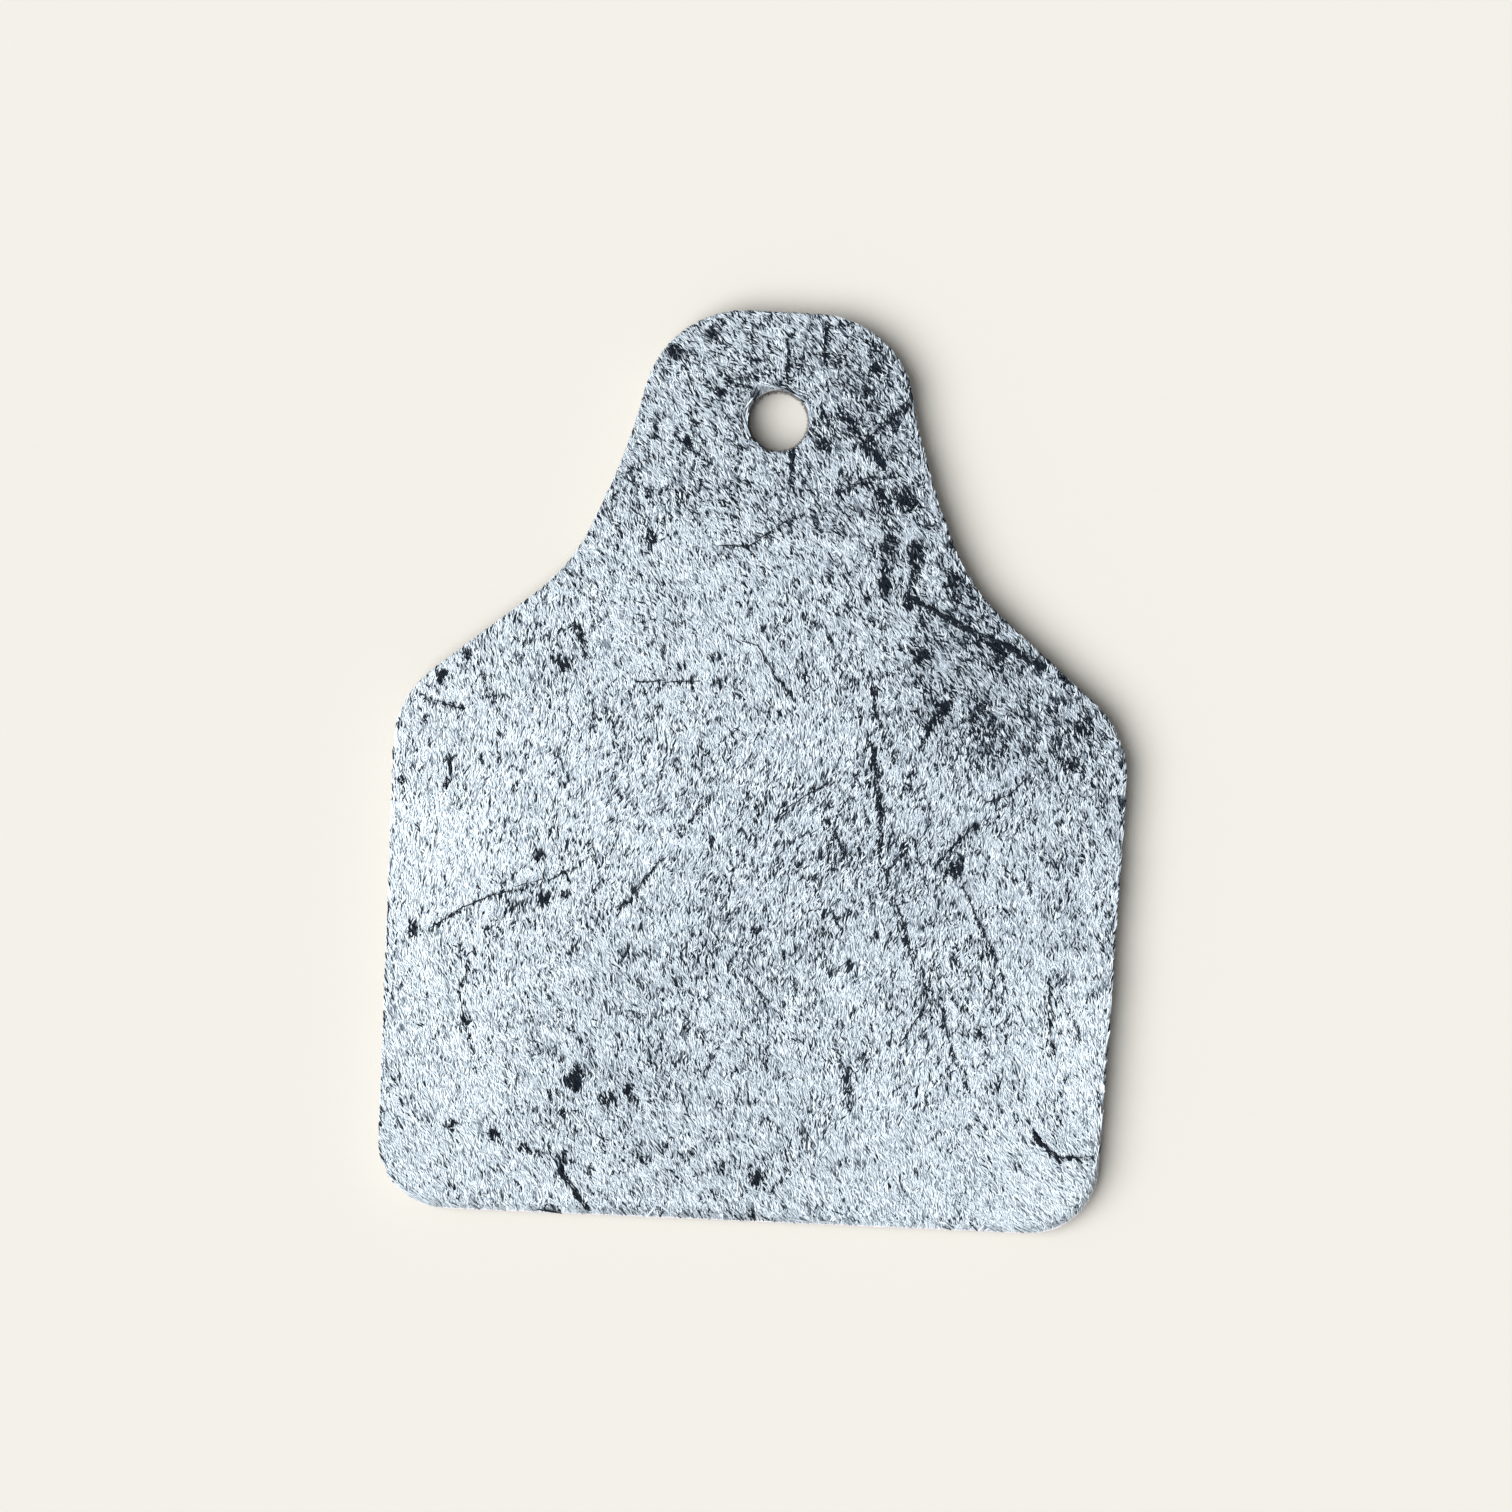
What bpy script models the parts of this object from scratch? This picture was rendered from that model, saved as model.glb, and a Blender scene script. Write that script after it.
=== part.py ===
"""Hair-on hide tag: a die-cut blank of short-haired cowhide in the outline of a cattle ear tag.

The blank lies on its flesh side, hair up. From the table upwards it has three layers, each its own object:
the corium (the fibrous leather), the grain layer (the dense skin that holds the hair roots) and the hair coat.
+Z is up, +Y runs from the body to the neck, and the origin is under the middle of the outline.
"""

import math
from collections import namedtuple

import bpy
from mathutils import Vector

MM = 0.001

# Outline. The neck is measured down from the crown, so a longer tag only gets a longer body.
TAG_LENGTH = 94.5 * MM  # crown to base, along the middle
SHOULDER_WIDTH = 76.35 * MM  # between the shoulder corners, the widest place
BASE_WIDTH = 74.6 * MM  # between the base corners
SHOULDER_DROP = 42.0 * MM  # crown to shoulder corners
ROOT_WIDTH = 41.2 * MM  # where the neck flares into the shoulders
ROOT_DROP = 27.4 * MM
NECK_WIDTH = 30.5 * MM  # half way down the neck
NECK_DROP = 14.6 * MM
CROWN_WIDTH = 24.4 * MM  # between the crown's corners
BASE_SLANT = 0.8 * MM  # how far the base runs out of square, higher at +X

BASE_RADIUS = 7.1 * MM
SHOULDER_RADIUS = 10.5 * MM
ROOT_RADIUS = 18.7 * MM
NECK_RADIUS = 59.5 * MM
CROWN_RADIUS = 10.7 * MM

# Punched hole, on the middle line.
HOLE_DIAMETER = 6.4 * MM
HOLE_DROP = 11.3 * MM  # crown to the hole's centre

# Layers.
CORIUM_THICKNESS = 1.6 * MM
GRAIN_THICKNESS = 0.4 * MM
COAT_HEIGHT = 1.2 * MM  # the hair lies nearly flat
LAYER_GAP = 0.1 * MM  # keeps the grown-together layers clear of each other
COAT_INSET = 0.3 * MM  # the cut edge of the hide shows this much past the hair

# Facets.
ARC_STEP = math.radians(5.0)
FEWEST_ARC_STEPS = 4
HOLE_STEPS = 64
FILLET_SHARE = 0.95  # of an edge that its two fillets may use

Corner = namedtuple("Corner", "place radius")


def clear_scene():
    for obj in list(bpy.data.objects):
        bpy.data.objects.remove(obj, do_unlink=True)


def half_outline():
    """The +X half of the outline, from the base to the crown, with the crown at y = 0."""
    return [
        Corner(Vector((BASE_WIDTH / 2, -TAG_LENGTH)), BASE_RADIUS),
        Corner(Vector((SHOULDER_WIDTH / 2, -SHOULDER_DROP)), SHOULDER_RADIUS),
        Corner(Vector((ROOT_WIDTH / 2, -ROOT_DROP)), ROOT_RADIUS),
        Corner(Vector((NECK_WIDTH / 2, -NECK_DROP)), NECK_RADIUS),
        Corner(Vector((CROWN_WIDTH / 2, 0)), CROWN_RADIUS),
    ]


def tag_corners():
    """The whole outline, counter-clockwise, with the base turned out of square."""
    right = half_outline()
    left = [Corner(Vector((-c.place.x, c.place.y)), c.radius) for c in reversed(right)]
    right[0].place.y += BASE_SLANT / 2
    left[-1].place.y -= BASE_SLANT / 2
    return right + left


def inset_corners(corners, inset):
    """The outline moved inwards: its convex fillets get tighter and its hollow ones wider."""
    moved = []
    for i, corner in enumerate(corners):
        before = (corner.place - corners[i - 1].place).normalized()
        after = (corners[(i + 1) % len(corners)].place - corner.place).normalized()
        inward_before = Vector((-before.y, before.x))
        inward_after = Vector((-after.y, after.x))
        mitre = (inward_before + inward_after) / (1 + inward_before.dot(inward_after))
        bulge = math.copysign(1, before.cross(after))
        moved.append(Corner(corner.place + mitre * inset, corner.radius - bulge * inset))
    return moved


def turn_at(corners, i):
    """The signed angle that the outline turns through at a corner, positive where it is convex."""
    before = corners[i].place - corners[i - 1].place
    after = corners[(i + 1) % len(corners)].place - corners[i].place
    return math.atan2(before.cross(after), before.dot(after))


def limited_radius(corners, i):
    """A corner's radius, smaller where its fillet and a neighbour's would use up the edge between them."""
    count = len(corners)
    reach = [c.radius * math.tan(abs(turn_at(corners, k)) / 2) for k, c in enumerate(corners)]
    share = 1.0
    for other in (i - 1, (i + 1) % count):
        edge = (corners[i].place - corners[other].place).length
        share = min(share, FILLET_SHARE * edge / (reach[i] + reach[other]))
    return corners[i].radius * share


def fillet_points(corners, i):
    """The points of one corner's arc, tangent to both its edges."""
    place = corners[i].place
    towards_before = (corners[i - 1].place - place).normalized()
    turn = turn_at(corners, i)
    radius = limited_radius(corners, i)
    start = place + towards_before * radius * math.tan(abs(turn) / 2)
    side = math.copysign(1, turn)
    to_centre = Vector((towards_before.y, -towards_before.x)) * side
    centre = start + to_centre * radius
    steps = max(FEWEST_ARC_STEPS, math.ceil(abs(turn) / ARC_STEP))
    first = math.atan2(-to_centre.y, -to_centre.x)
    angles = [first + turn * k / steps for k in range(steps + 1)]
    return [centre + radius * Vector((math.cos(a), math.sin(a))) for a in angles]


def outline_points(inset=0.0):
    corners = inset_corners(tag_corners(), inset)
    return [point for i in range(len(corners)) for point in fillet_points(corners, i)]


def hole_points(centre, radius):
    angles = [math.tau * k / HOLE_STEPS for k in range(HOLE_STEPS)]
    return [centre + radius * Vector((math.cos(a), math.sin(a))) for a in angles]


def middle_of(points):
    xs = [p.x for p in points]
    ys = [p.y for p in points]
    return Vector(((min(xs) + max(xs)) / 2, (min(ys) + max(ys)) / 2))


def add_loop(curve, points):
    spline = curve.splines.new("POLY")
    spline.points.add(len(points) - 1)
    for target, point in zip(spline.points, points):
        target.co = (point.x, point.y, 0, 1)
    spline.use_cyclic_u = True


def make_material(name, colour, roughness):
    material = bpy.data.materials.new(name)
    material.use_nodes = True
    shader = material.node_tree.nodes["Principled BSDF"]
    shader.inputs["Base Color"].default_value = (*colour, 1)
    shader.inputs["Roughness"].default_value = roughness
    shader.inputs["Metallic"].default_value = 0
    return material


def add_layer(name, frame, foot, thickness, inset, material):
    """One layer of the blank: its outline with the hole, filled and given its thickness."""
    outline = outline_points(inset)
    origin = middle_of(outline_points())
    hole = hole_points(Vector((0, -HOLE_DROP)), HOLE_DIAMETER / 2)
    curve = bpy.data.curves.new(name, "CURVE")
    curve.dimensions = "2D"
    curve.fill_mode = "BOTH"
    curve.extrude = thickness / 2
    add_loop(curve, [point - origin for point in outline])
    add_loop(curve, [point - origin for point in hole])
    layer = bpy.data.objects.new(name, curve)
    layer.location = (0, 0, foot + thickness / 2)
    layer.parent = frame
    layer.data.materials.append(material)
    bpy.data.collections["hair_on_hide_tag"].objects.link(layer)
    return foot + thickness + LAYER_GAP


def build():
    clear_scene()
    collection = bpy.data.collections.new("hair_on_hide_tag")
    bpy.context.scene.collection.children.link(collection)
    frame = bpy.data.objects.new("tag_frame", None)
    collection.objects.link(frame)

    flesh = make_material("suede_flesh", (0.72, 0.69, 0.68), 0.95)
    skin = make_material("pale_skin", (0.80, 0.76, 0.77), 0.7)
    hair = make_material("speckled_hair", (0.52, 0.58, 0.64), 0.6)

    top = add_layer("corium", frame, 0.0, CORIUM_THICKNESS, 0.0, flesh)
    top = add_layer("grain_layer", frame, top, GRAIN_THICKNESS, 0.0, skin)
    add_layer("hair_coat", frame, top, COAT_HEIGHT, COAT_INSET, hair)


build()
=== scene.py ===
"""The looks of the hair-on hide tag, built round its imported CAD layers.

The tag lies on its flesh side, hair up. Its hide is two closed slabs cut to the CAD outline. Its coat is
locks of separate hairs that lie along a chosen field of headings. Fine fibres stand for the nap of the flesh
side, and for the fibre ends at the cut edge and round the punched hole. Sizes are in metres, and places in
the pattern are in millimetres from the middle of the outline.
"""

from __future__ import annotations

import logging
import math
from dataclasses import dataclass
from enum import Enum
from typing import Callable, Union

import bpy
import numpy as np
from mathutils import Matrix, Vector
from mathutils.geometry import delaunay_2d_cdt


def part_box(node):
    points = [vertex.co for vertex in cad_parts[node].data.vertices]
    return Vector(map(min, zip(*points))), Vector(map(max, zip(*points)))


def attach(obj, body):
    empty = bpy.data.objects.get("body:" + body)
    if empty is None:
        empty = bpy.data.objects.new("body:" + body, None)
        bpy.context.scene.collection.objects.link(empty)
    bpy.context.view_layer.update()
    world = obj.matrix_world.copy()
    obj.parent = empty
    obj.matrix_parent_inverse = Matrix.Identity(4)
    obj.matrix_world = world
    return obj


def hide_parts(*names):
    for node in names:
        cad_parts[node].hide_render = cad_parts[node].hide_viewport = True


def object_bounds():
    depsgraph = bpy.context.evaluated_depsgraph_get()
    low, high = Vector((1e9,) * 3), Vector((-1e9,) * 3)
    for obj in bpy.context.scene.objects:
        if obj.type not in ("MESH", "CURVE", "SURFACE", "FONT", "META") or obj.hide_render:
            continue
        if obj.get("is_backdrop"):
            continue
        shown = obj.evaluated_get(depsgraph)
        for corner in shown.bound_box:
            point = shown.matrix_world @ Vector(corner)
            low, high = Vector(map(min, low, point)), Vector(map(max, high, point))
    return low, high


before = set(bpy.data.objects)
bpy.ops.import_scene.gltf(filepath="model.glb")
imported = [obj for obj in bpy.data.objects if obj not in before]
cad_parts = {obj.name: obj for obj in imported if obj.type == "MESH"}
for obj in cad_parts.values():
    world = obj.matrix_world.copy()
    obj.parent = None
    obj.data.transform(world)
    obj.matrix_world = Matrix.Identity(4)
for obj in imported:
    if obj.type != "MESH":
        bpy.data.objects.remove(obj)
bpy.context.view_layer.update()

MM = 0.001
BODY = "root"
TINY = 1e-12
log = logging.getLogger("hide_tag")

Colour = tuple[float, float, float]


class Slot(Enum):
    """The record's material slots."""

    FLESH = "suede_flesh"
    SKIN = "pale_skin"
    HAIR = "speckled_hair"


# ---------------------------------------------------------------- shader maths


class Signal:
    """A number that changes over a surface. Python's operators on it add Math nodes."""

    def __init__(self, bench: NodeBench, socket: bpy.types.NodeSocket) -> None:
        """Wraps one output socket of a bench's node."""
        self.bench = bench
        self.socket = socket

    def _maths(self, operation: str, first: Feed, second: Feed) -> Signal:
        """Adds one Math node.

        Args:
            operation: The node's operation.
            first: Its first value.
            second: Its second value.

        Returns:
            The node's result.
        """
        node = self.bench.add("ShaderNodeMath", {"operation": operation}, {0: first, 1: second})
        return Signal(self.bench, node.outputs[0])

    def __add__(self, other: Feed) -> Signal:
        """Adds a number or another signal."""
        return self._maths("ADD", self, other)

    def __sub__(self, other: Feed) -> Signal:
        """Takes away a number or another signal."""
        return self._maths("SUBTRACT", self, other)

    def __rsub__(self, other: Feed) -> Signal:
        """Takes this signal away from a number."""
        return self._maths("SUBTRACT", other, self)

    def __mul__(self, other: Feed) -> Signal:
        """Multiplies by a number or another signal."""
        return self._maths("MULTIPLY", self, other)

    __radd__ = __add__
    __rmul__ = __mul__


Feed = Union[float, Colour, Signal, bpy.types.NodeSocket]
Stops = tuple[tuple[float, Colour], ...]


class NodeBench:
    """One material and its nodes, with the Principled shader ready to be fed."""

    def __init__(self, name: str) -> None:
        """Makes an empty material of that name."""
        self.material = bpy.data.materials.new(name)
        self.material.use_nodes = True
        self.tree = self.material.node_tree
        self.shader = self.tree.nodes["Principled BSDF"]

    def feed(self, socket: bpy.types.NodeSocket, value: Feed) -> None:
        """Links a signal or an output to a socket, or sets the socket to a number or colour."""
        if isinstance(value, Signal):
            value = value.socket
        if isinstance(value, bpy.types.NodeSocket):
            self.tree.links.new(value, socket)
        elif isinstance(value, tuple) and len(socket.default_value) == 4:
            socket.default_value = (*value, 1.0)
        else:
            socket.default_value = value

    def add(
        self,
        kind: str,
        settings: dict[str, object] | None = None,
        sockets: dict[str | int, Feed] | None = None,
    ) -> bpy.types.Node:
        """Adds a node.

        Args:
            kind: The node's type.
            settings: Its properties, and a ramp's stops as "stops".
            sockets: Values or links for its inputs, by name or by index.

        Returns:
            The node.
        """
        node = self.tree.nodes.new(kind)
        for name, value in (settings or {}).items():
            if name == "stops":
                self._place_stops(node.color_ramp, value)
            else:
                setattr(node, name, value)
        for key, value in (sockets or {}).items():
            if isinstance(key, str):
                socket = next(s for s in node.inputs if s.name == key and s.enabled)
            else:
                socket = node.inputs[key]
            self.feed(socket, value)
        return node

    @staticmethod
    def _place_stops(ramp: bpy.types.ColorRamp, stops: Stops) -> None:
        """Sets a ramp's places and colours."""
        while len(ramp.elements) < len(stops):
            ramp.elements.new(1.0)
        for element, (place, colour) in zip(ramp.elements, stops):
            element.position = place
            element.color = (*colour, 1.0)

    def ramp(self, value: Feed, stops: Stops) -> bpy.types.NodeSocket:
        """The colour that a value has on a ramp of these stops."""
        return self.add("ShaderNodeValToRGB", {"stops": stops}, {0: value}).outputs["Color"]

    def mixed(self, share: Feed, first: Feed, second: Feed, blend: str = "MIX") -> bpy.types.NodeSocket:
        """Mixes two colours.

        Args:
            share: How much of the second shows, from 0 to 1.
            first: The colour underneath.
            second: The colour on top.
            blend: The way that they are blended.

        Returns:
            The mixed colour.
        """
        settings = {"data_type": "RGBA", "blend_type": blend}
        node = self.add("ShaderNodeMix", settings, {"Factor": share, "A": first, "B": second})
        return next(s for s in node.outputs if s.enabled)

    def noise(self, per_metre: float, detail: float = 3.0, stretch: Colour = (1.0, 1.0, 1.0)) -> Signal:
        """Noise over the piece's own space.

        Args:
            per_metre: How many patches there are in a metre.
            detail: How many finer octaves it has.
            stretch: How many times finer it is along each axis.

        Returns:
            A signal from about 0.3 to 0.7.
        """
        places = self.add("ShaderNodeTexCoord").outputs["Object"]
        placed = self.add("ShaderNodeMapping", None, {"Vector": places, "Scale": stretch}).outputs[0]
        sockets = {"Vector": placed, "Scale": per_metre, "Detail": detail}
        return Signal(self, self.add("ShaderNodeTexNoise", None, sockets).outputs[0])

    def bumped(self, height: Feed, depth: float) -> None:
        """Raises the surface by a signal, up to a depth in metres."""
        bump = self.add("ShaderNodeBump", None, {"Height": height, "Distance": depth, "Strength": 1.0})
        self.feed(self.shader.inputs["Normal"], bump.outputs[0])


# ---------------------------------------------------------------- finishes

STRAND_MAP = "strand"
BAKE_MAP = "OFBake"


@dataclass(frozen=True)
class StrandFinish:
    """Hair or fibre whose colour goes by its tone, and darkens towards its root: painted shade where the
    strands meet the hide and crowd together.
    """

    name: str
    tones: Stops
    roots: Stops
    roughness: float = 0.45
    gloss: float = 0.3

    def material(self) -> bpy.types.Material:
        """Makes the finish's material."""
        bench = NodeBench(self.name)
        where = bench.add("ShaderNodeUVMap", {"uv_map": STRAND_MAP}).outputs[0]
        axes = bench.add("ShaderNodeSeparateXYZ", None, {0: where}).outputs
        # The root ramp is painted shade: it darkens each strand towards the hide.
        tone, root = bench.ramp(axes[1], self.tones), bench.ramp(axes[0], self.roots)
        bench.feed(bench.shader.inputs["Base Color"], bench.mixed(1.0, tone, root, "MULTIPLY"))
        bench.feed(bench.shader.inputs["Roughness"], self.roughness)
        bench.feed(bench.shader.inputs["Specular IOR Level"], self.gloss)
        return bench.material


@dataclass(frozen=True)
class MottledFinish:
    """A matte skin whose colour wanders between a few tones, with a fine raised grain."""

    name: str
    tones: Stops
    patches_per_metre: float
    grain_per_metre: float
    grain_depth: float
    roughness: float
    stretch: Colour = (1.0, 1.0, 1.0)

    PATCH_DETAIL = 4.0
    GRAIN_DETAIL = 3.0
    GRAIN_SHARE = 0.3
    MIDDLE_TONE = 0.5
    ROUGHNESS_SWING = 0.2

    def material(self) -> bpy.types.Material:
        """Makes the finish's material."""
        bench = NodeBench(self.name)
        patches = bench.noise(self.patches_per_metre, self.PATCH_DETAIL, self.stretch)
        grain = bench.noise(self.grain_per_metre, self.GRAIN_DETAIL, self.stretch)
        tone = patches * (1.0 - self.GRAIN_SHARE) + grain * self.GRAIN_SHARE
        roughness = self.roughness + self.ROUGHNESS_SWING * (tone - self.MIDDLE_TONE)
        bench.feed(bench.shader.inputs["Base Color"], bench.ramp(tone, self.tones))
        bench.feed(bench.shader.inputs["Roughness"], roughness)
        bench.bumped(grain, self.grain_depth)
        return bench.material


HAIR = StrandFinish(
    name="speckled_hair",
    tones=(
        (0.00, (0.002, 0.004, 0.008)),
        (0.25, (0.008, 0.014, 0.023)),
        (0.50, (0.125, 0.155, 0.190)),
        (0.75, (0.385, 0.438, 0.485)),
        (1.00, (0.605, 0.670, 0.712)),
    ),
    # Darker roots: painted shade between the hairs near the skin.
    roots=((0.0, (0.70, 0.71, 0.73)), (0.3, (0.88, 0.89, 0.90)), (0.6, (1.0, 1.0, 1.0))),
    roughness=0.6,
    gloss=0.09,
)
SUEDE_FIBRE = StrandFinish(
    name="suede_fibre",
    tones=((0.0, (0.55, 0.52, 0.50)), (0.5, (0.72, 0.69, 0.67)), (1.0, (0.86, 0.84, 0.82))),
    roots=((0.0, (0.75, 0.74, 0.73)), (1.0, (1.0, 1.0, 1.0))),
    roughness=0.9,
    gloss=0.1,
)
# Painted shade: the fibres round the hole are dark, which draws a shaded ring at its rim.
SHADED_HOLE_FIBRE = StrandFinish(
    name="shaded_hole_fibre",
    tones=((0.0, (0.03, 0.03, 0.03)), (0.5, (0.09, 0.088, 0.086)), (1.0, (0.20, 0.195, 0.19))),
    roots=((0.0, (0.7, 0.7, 0.7)), (1.0, (1.0, 1.0, 1.0))),
    roughness=0.9,
    gloss=0.1,
)
SUEDE = MottledFinish(
    name="suede_flesh",
    tones=((0.3, (0.60, 0.57, 0.55)), (0.5, (0.70, 0.67, 0.65)), (0.7, (0.80, 0.78, 0.76))),
    patches_per_metre=180.0,
    grain_per_metre=4200.0,
    grain_depth=0.06 * MM,
    roughness=0.92,
)
CUT_CORIUM = MottledFinish(
    name="cut_corium",
    tones=((0.3, (0.30, 0.28, 0.27)), (0.5, (0.42, 0.40, 0.39)), (0.7, (0.56, 0.54, 0.54))),
    patches_per_metre=900.0,
    grain_per_metre=5200.0,
    grain_depth=0.05 * MM,
    roughness=0.85,
    stretch=(1.0, 1.0, 2.6),
)
CUT_GRAIN = MottledFinish(
    name="cut_grain",
    tones=((0.3, (0.34, 0.315, 0.325)), (0.5, (0.42, 0.39, 0.40)), (0.7, (0.50, 0.47, 0.48))),
    patches_per_metre=1100.0,
    grain_per_metre=7000.0,
    grain_depth=0.02 * MM,
    roughness=0.6,
)
# Painted shade: the hole's walls are darker than the cut edges elsewhere, and stand in for the shade inside
# the hole.
SHADED_HOLE_EDGE = MottledFinish(
    name="shaded_hole_edge",
    tones=((0.3, (0.10, 0.10, 0.10)), (0.5, (0.17, 0.165, 0.165)), (0.7, (0.28, 0.27, 0.27))),
    patches_per_metre=1100.0,
    grain_per_metre=6000.0,
    grain_depth=0.03 * MM,
    roughness=0.8,
    stretch=(1.0, 1.0, 2.6),
)
HAIRY_SKIN = MottledFinish(
    name="hairy_skin",
    tones=((0.3, (0.09, 0.10, 0.12)), (0.5, (0.20, 0.22, 0.25)), (0.7, (0.42, 0.45, 0.49))),
    patches_per_metre=260.0,
    grain_per_metre=3600.0,
    grain_depth=0.03 * MM,
    roughness=0.6,
)
TABLE = MottledFinish(
    name="pale_table",
    tones=((0.3, (0.388, 0.377, 0.349)), (0.7, (0.392, 0.381, 0.353))),
    patches_per_metre=6.0,
    grain_per_metre=900.0,
    grain_depth=0.002 * MM,
    roughness=0.9,
)


# ---------------------------------------------------------------- where things lie on the tag


def wrapped(values: np.ndarray) -> np.ndarray:
    """The values of a closed loop with its first again at the end."""
    return np.concatenate([values, values[:1]])


@dataclass(frozen=True)
class CutOutline:
    """The tag's cut line and its hang hole, as closed loops with the hide on their left."""

    rim: np.ndarray
    hole: np.ndarray

    SAME_PLACE_DECIMALS = 7
    LEVEL_WITHIN = 0.01 * MM
    FEWEST_POINTS = 24

    @classmethod
    def of_layer(cls, layer: bpy.types.Object) -> CutOutline:
        """Reads both loops from the upper face of a CAD layer.

        Args:
            layer: The CAD node's object.

        Returns:
            The outline, in the row frame.
        """
        mesh = layer.data
        mesh.calc_loop_triangles()
        corners = np.array([v.co for v in mesh.vertices])
        places, index = np.unique(
            np.round(corners, cls.SAME_PLACE_DECIMALS), axis=0, return_inverse=True
        )
        triangles = index.ravel()[np.array([t.vertices for t in mesh.loop_triangles])]
        top = places[triangles][:, :, 2].min(1) > places[:, 2].max() - cls.LEVEL_WITHIN
        following = {}
        for a, b, c in triangles[top]:
            following.update({(a, b): b, (b, c): c, (c, a): a})
        after = {a: b for a, b in following if (b, a) not in following}
        loops = []
        while after:
            first = next(iter(after))
            loop = [first]
            while after[loop[-1]] != first:
                loop.append(after[loop[-1]])
            for point in loop:
                del after[point]
            loops.append(places[loop][:, :2])
        loops.sort(key=lambda points: np.ptp(points[:, 0]))
        return cls(rim=loops[-1], hole=loops[0])

    @staticmethod
    def evenly(loop: np.ndarray, spacing: float) -> np.ndarray:
        """A loop with its points set evenly, about this far apart."""
        closed = wrapped(loop)
        along = np.concatenate([[0.0], np.cumsum(np.linalg.norm(np.diff(closed, axis=0), axis=1))])
        count = max(CutOutline.FEWEST_POINTS, round(along[-1] / spacing))
        stops = np.linspace(0.0, along[-1], count, endpoint=False)
        return np.stack([np.interp(stops, along, closed[:, k]) for k in (0, 1)], 1)

    @staticmethod
    def outward(loop: np.ndarray) -> np.ndarray:
        """At each point of a loop, the level direction that leads out of the hide."""
        along = np.roll(loop, -1, 0) - np.roll(loop, 1, 0)
        normal = np.stack([along[:, 1], -along[:, 0]], 1)
        return normal / np.linalg.norm(normal, axis=1, keepdims=True)


class EdgeField:
    """How far a place is inside the cut edges, looked up on a fine grid. It is negative off the hide."""

    LAST_CELL = 1.001

    def __init__(self, outline: CutOutline, cell: float = 0.2 * MM, margin: float = 8.0 * MM) -> None:
        """Measures the grid.

        Args:
            outline: The cut edges.
            cell: The grid's spacing.
            margin: How far the grid reaches past the outline.
        """
        self.low = outline.rim.min(0) - margin
        self.cell = cell
        self.count = np.ceil((np.ptp(outline.rim, axis=0) + 2 * margin) / cell).astype(int) + 1
        axes = [self.low[k] + cell * np.arange(self.count[k]) for k in (0, 1)]
        x, y = np.meshgrid(*axes, indexing="ij")
        nearest = np.full(x.shape, np.inf)
        inside = np.zeros(x.shape, bool)
        for loop in (outline.rim, outline.hole):
            for start, end in zip(loop, np.roll(loop, -1, 0)):
                run = end - start
                share = ((x - start[0]) * run[0] + (y - start[1]) * run[1]) / (run @ run)
                share = share.clip(0.0, 1.0)
                gap = (x - start[0] - share * run[0]) ** 2 + (y - start[1] - share * run[1]) ** 2
                nearest = np.minimum(nearest, gap)
                if start[1] != end[1]:
                    crosses = (start[1] > y) != (end[1] > y)
                    inside ^= crosses & (x < start[0] + (y - start[1]) * run[0] / run[1])
        self.grid = np.where(inside, 1.0, -1.0) * np.sqrt(nearest)

    def at(self, places: np.ndarray) -> np.ndarray:
        """The depth inside the edges at each place, in metres."""
        spot = ((places - self.low) / self.cell).clip(0, self.count - self.LAST_CELL)
        low = spot.astype(int)
        i, j = low[..., 0], low[..., 1]
        u, v = (spot - low)[..., 0], (spot - low)[..., 1]
        near = self.grid[i, j] * (1 - u) + self.grid[i + 1, j] * u
        far = self.grid[i, j + 1] * (1 - u) + self.grid[i + 1, j + 1] * u
        return near * (1 - v) + far * v


class Mottle:
    """Smooth random patches over the tag, from -1 to 1."""

    CELLS = 128

    def __init__(self, seed: int, size: float) -> None:
        """Makes patches of about this size, in metres."""
        self.size = size
        self.lattice = np.random.default_rng(seed).uniform(-1.0, 1.0, (self.CELLS, self.CELLS))

    def at(self, places: np.ndarray) -> np.ndarray:
        """The patches' value at each place."""
        spot = places / self.size + self.CELLS / 2
        low = np.floor(spot).astype(int)
        part = spot - low
        u, v = np.moveaxis(part * part * (3 - 2 * part), -1, 0)
        i, j = np.moveaxis(low % self.CELLS, -1, 0)
        k, m = (i + 1) % self.CELLS, (j + 1) % self.CELLS
        near = self.lattice[i, j] * (1 - u) + self.lattice[k, j] * u
        far = self.lattice[i, m] * (1 - u) + self.lattice[k, m] * u
        return near * (1 - v) + far * v


@dataclass(frozen=True)
class LayPoint:
    """A place on the tag, in mm, and the way its hair lies, in degrees from +X towards +Y."""

    x: float
    y: float
    heading: float


@dataclass(frozen=True)
class RoanPoint:
    """A place on the tag, in mm, the share of its locks that are dark, and the tone of its palest ones,
    which is partly the coat's own whiteness and partly painted light, higher on the lit left side.
    """

    x: float
    y: float
    dark: float
    pale: float


@dataclass(frozen=True)
class Smudge:
    """A small cluster of dark locks: its middle and radius in mm, and how thick it is."""

    x: float
    y: float
    radius: float
    strength: float = 0.88


@dataclass(frozen=True)
class Crease:
    """A line along which the hair turns dark.

    Its points and half width are in mm, and hairs is how many rows of long hairs lie on it.
    """

    points: tuple[tuple[float, float], ...]
    width: float
    strength: float = 0.0
    hairs: int = 0

    def gap(self, places: np.ndarray) -> np.ndarray:
        """How far each place is from the line, in mm."""
        nearest = np.full(places.shape[:-1], np.inf)
        for start, end in zip(self.points, self.points[1:]):
            a, run = np.array(start), np.subtract(end, start)
            share = (((places - a) @ run) / (run @ run)).clip(0.0, 1.0)
            nearest = np.minimum(nearest, np.linalg.norm(places - a - share[..., None] * run, axis=-1))
        return nearest


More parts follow.
